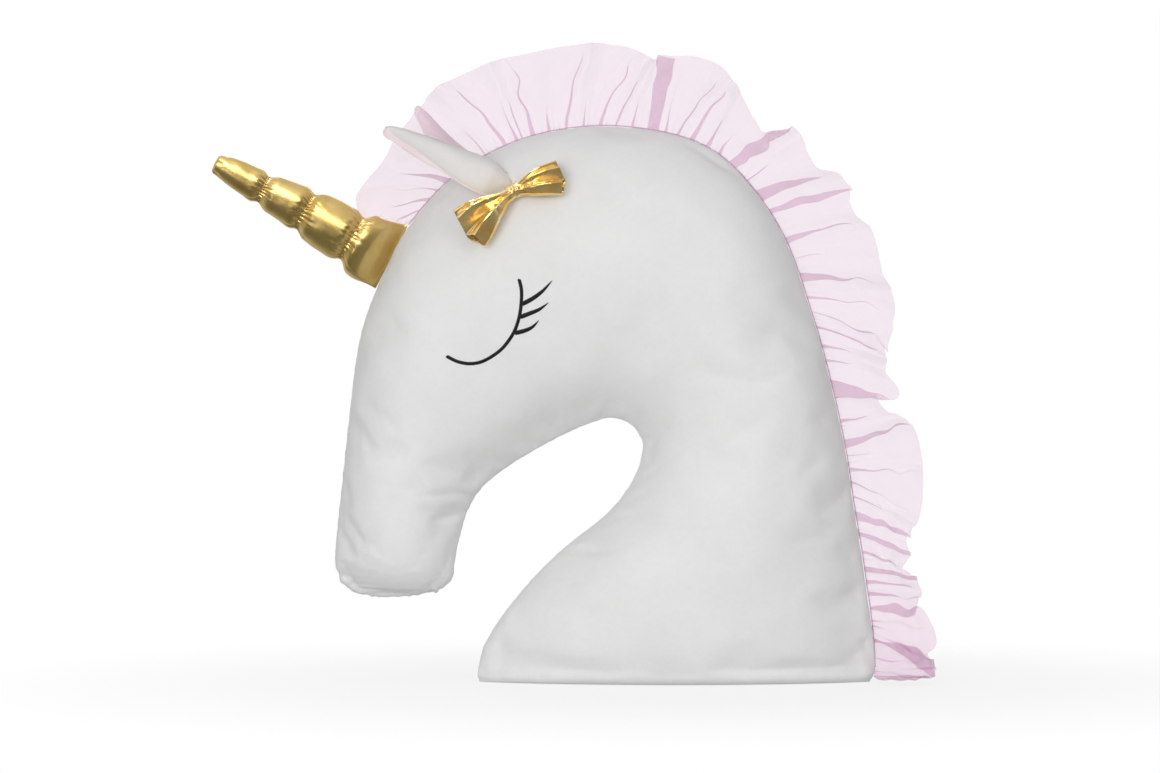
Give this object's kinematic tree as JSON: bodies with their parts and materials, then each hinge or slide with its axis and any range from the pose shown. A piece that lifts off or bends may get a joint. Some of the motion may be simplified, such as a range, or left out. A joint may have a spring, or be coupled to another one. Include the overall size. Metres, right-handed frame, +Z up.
{
  "type": "plush unicorn head cushion",
  "caption": "Stuffed unicorn head cushion in white velour with a gathered tulle mane, a segmented metallic horn, soft ears, a small bow and an embroidered closed eye.",
  "frame": {"origin": "middle of the flat base panel, on the surface the cushion stands on", "axes": "+Z up, -X towards the nose and horn, +X towards the nape and mane, -Y towards the near side, the one with the bow"},
  "size_m": [0.544, 0.1433, 0.4802],
  "materials": {
    "velour_white": "short pile, matte",
    "ear_lining_pink": "short pile, matte",
    "tulle_pink": "sheer net with a soft sheen",
    "lame_gold": "metallic cloth, satin gloss",
    "foil_gold": "metallic cloth, bright gloss",
    "stitch_black": "embroidery thread, slight sheen",
    "thread_gold": "sewing thread",
    "thread_white": "sewing thread",
    "thread_pink": "sewing thread",
    "filling_white": "loose polyester fibre"
  },
  "bodies": {
    "cushion": {"near_side_panel": "velour_white", "far_side_panel": "velour_white", "base_panel": "velour_white", "body_filling": "filling_white", "closing_stitches": "thread_white", "near_eyelid_stitch": "stitch_black", "near_lash_stitches": "stitch_black", "far_eyelid_stitch": "stitch_black", "far_lash_stitches": "stitch_black", "mane_crown_ruffle": "tulle_pink", "mane_gathering_thread": "thread_pink", "near_ear_stitches": "thread_white", "far_ear_stitches": "thread_white", "bow_tack_thread": "thread_white"},
    "mane": {"mane_nape_ruffle": "tulle_pink"},
    "horn": {"horn_cover": "lame_gold", "horn_filling": "filling_white", "horn_gather_thread_lower": "thread_gold", "horn_gather_thread_middle": "thread_gold", "horn_gather_thread_upper": "thread_gold"},
    "near_ear": {"near_ear_outer": "velour_white", "near_ear_lining": "ear_lining_pink"},
    "far_ear": {"far_ear_outer": "velour_white", "far_ear_lining": "ear_lining_pink"},
    "bow": {"bow_loops": "foil_gold", "bow_knot_wrap": "foil_gold"}
  },
  "joints": [
    {"name": "mane_lean", "type": "hinge", "parent": "cushion", "child": "mane", "pos_m": [0.1171, 0, 0.1781], "axis": [-0.219, 0, 0.9757], "range_deg": [-15, 15], "stiffness_Nm_per_rad": 0.02},
    {"name": "horn_flop", "type": "hinge", "parent": "cushion", "child": "horn", "pos_m": [-0.21667, 0, 0.31982], "axis": [0.4545, 0, 0.8907], "range_deg": [-25, 25], "stiffness_Nm_per_rad": 0.25},
    {"name": "near_ear_flop", "type": "hinge", "parent": "cushion", "child": "near_ear", "pos_m": [-0.13242, -0.04216, 0.3758], "axis": [0.3367, 0.4688, 0.8166], "range_deg": [-10, 35], "stiffness_Nm_per_rad": 0.05},
    {"name": "far_ear_flop", "type": "hinge", "parent": "cushion", "child": "far_ear", "pos_m": [-0.13242, 0.04216, 0.3758], "axis": [-0.5191, 0.4555, -0.7232], "range_deg": [-15, 30], "stiffness_Nm_per_rad": 0.05},
    {"name": "bow_swivel", "type": "hinge", "parent": "cushion", "child": "bow", "pos_m": [-0.12186, -0.05917, 0.36514], "axis": [-0.1933, -0.8814, 0.4309], "range_deg": [-5, 20], "stiffness_Nm_per_rad": 0.02}
  ]
}
